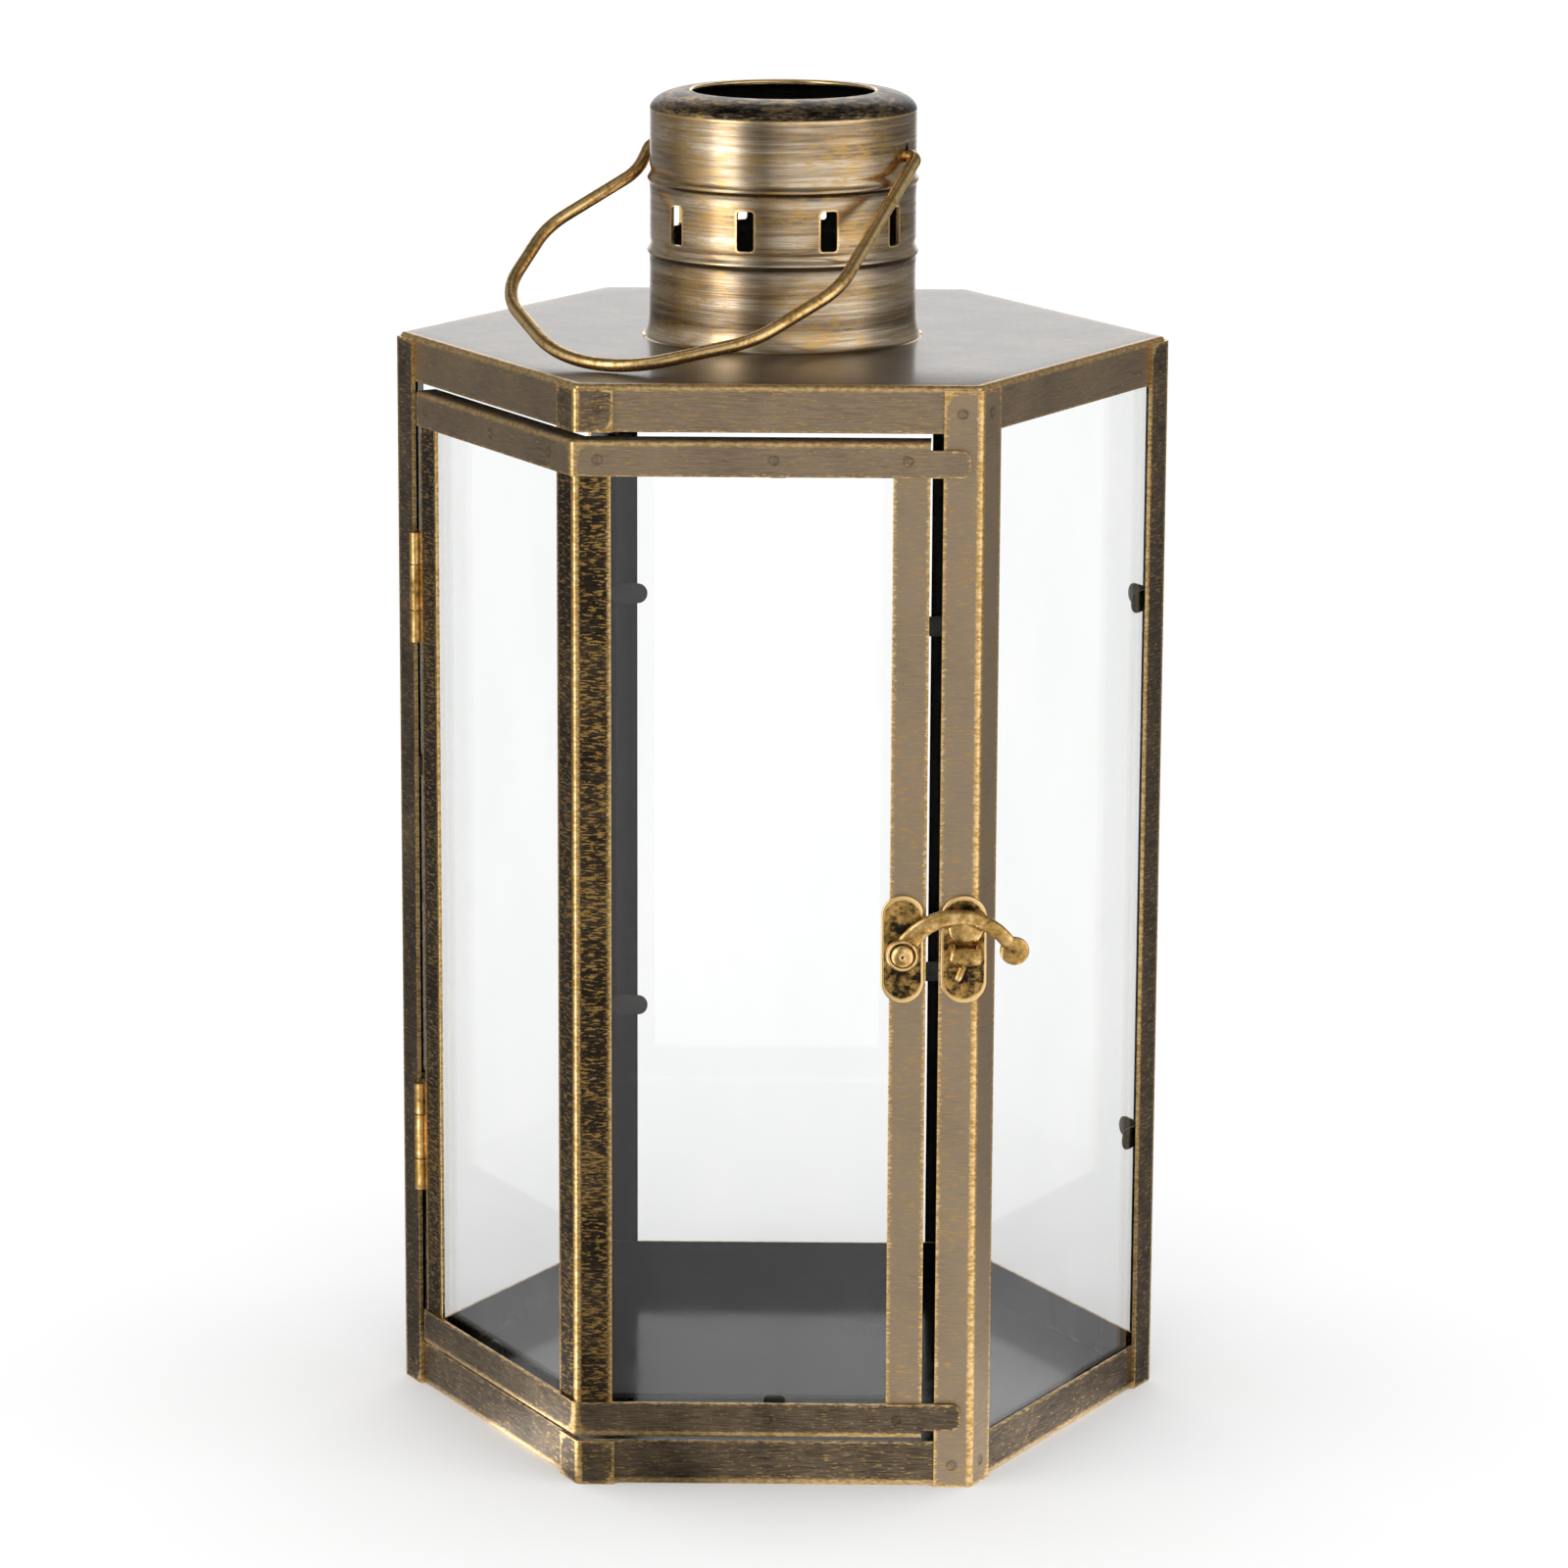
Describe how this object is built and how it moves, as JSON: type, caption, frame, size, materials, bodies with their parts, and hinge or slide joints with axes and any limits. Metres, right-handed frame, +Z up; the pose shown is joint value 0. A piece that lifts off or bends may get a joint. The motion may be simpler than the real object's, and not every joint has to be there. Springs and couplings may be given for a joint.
{
  "type": "candle lantern",
  "caption": "Hexagonal glazed metal candle lantern with a wrap-round hinged door, swing latch, slotted round chimney and wire handle",
  "frame": {"origin": "centre of the underside of the base", "axes": "+Z up, -Y towards the front face with the latch, +X to the right seen from the front"},
  "size_m": [0.1796, 0.1613, 0.3113],
  "materials": {
    "sheet_brass": "antique brass, brushed, with rubbed edges",
    "strip_brass": "antique brass, dark and mottled, rubbed bright along folds",
    "wire_brass": "antique brass, half gloss, mottled",
    "fitting_brass": "bronzed brass, half gloss, dark in the hollows",
    "glass": "clear flat glass"
  },
  "bodies": {
    "lantern": {"base_pan": "sheet_brass", "roof_cap": "sheet_brass", "chimney": "sheet_brass", "post_left": "strip_brass", "post_front_right": "strip_brass", "post_right": "strip_brass", "post_back_right": "strip_brass", "post_back_left": "strip_brass", "corner_bracket_top": "strip_brass", "corner_bracket_bottom": "strip_brass", "glass_back": "glass", "glass_back_left": "glass", "glass_back_right": "glass", "glass_front_right": "glass", "upper_hinge_frame_leaf": "fitting_brass", "upper_hinge_pin": "fitting_brass", "lower_hinge_frame_leaf": "fitting_brass", "lower_hinge_pin": "fitting_brass", "latch_frame_plate": "fitting_brass", "latch_keeper": "fitting_brass"},
    "door": {"door_hinge_stile": "strip_brass", "door_corner_stile": "strip_brass", "door_lock_stile": "strip_brass", "door_top_rail": "strip_brass", "door_bottom_rail": "strip_brass", "door_glass_side": "glass", "door_glass_front": "glass", "upper_hinge_door_leaf": "fitting_brass", "lower_hinge_door_leaf": "fitting_brass", "latch_door_plate": "fitting_brass", "latch_rivet": "fitting_brass"},
    "latch_arm": {"latch_arm": "fitting_brass"},
    "handle": {"handle": "wire_brass"}
  },
  "joints": [
    {"name": "door_hinge", "type": "hinge", "parent": "lantern", "child": "door", "pos_m": [-0.08515, -0.0091, 0.12705], "axis": [0, 0, -1], "range_deg": [0, 165]},
    {"name": "latch_pivot", "type": "hinge", "parent": "door", "child": "latch_arm", "pos_m": [0.0283, -0.0802, 0.12605], "axis": [0, -1, 0], "range_deg": [0, 110]},
    {"name": "handle_pivot", "type": "hinge", "parent": "lantern", "child": "handle", "pos_m": [0, 0, 0.2975], "axis": [-0.9205, 0.3907, 0], "range_deg": [0, 240.8]}
  ]
}
